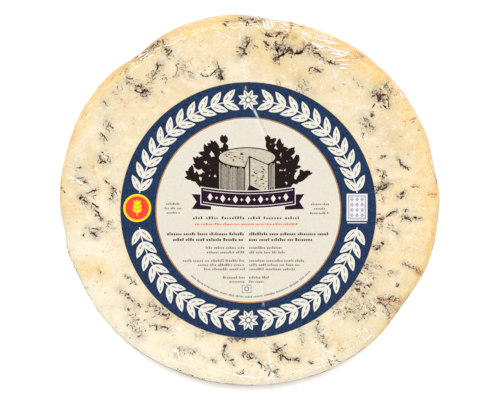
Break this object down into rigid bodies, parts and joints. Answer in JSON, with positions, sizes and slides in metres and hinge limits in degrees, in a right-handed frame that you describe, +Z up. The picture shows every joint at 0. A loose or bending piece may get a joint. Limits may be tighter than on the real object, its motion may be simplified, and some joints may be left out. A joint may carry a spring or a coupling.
{
  "type": "blue cheese wheel",
  "caption": "Level-cut wheel of mould-veined cheese drawn tight in clear film, with a round printed paper label on its face.",
  "frame": {"origin": "middle of the underside", "axes": "+Z up through the label, +Y towards the top of the label's print, +X to its right"},
  "size_m": [0.2018, 0.197, 0.0707],
  "materials": {
    "cheese": "cream cheese with blue-grey veins, under clear glossy film",
    "label_paper": "uncoated printed paper, blue band round a cream disc"
  },
  "bodies": {
    "root": {"cheese_wheel": "cheese", "label": "label_paper"}
  },
  "joints": []
}
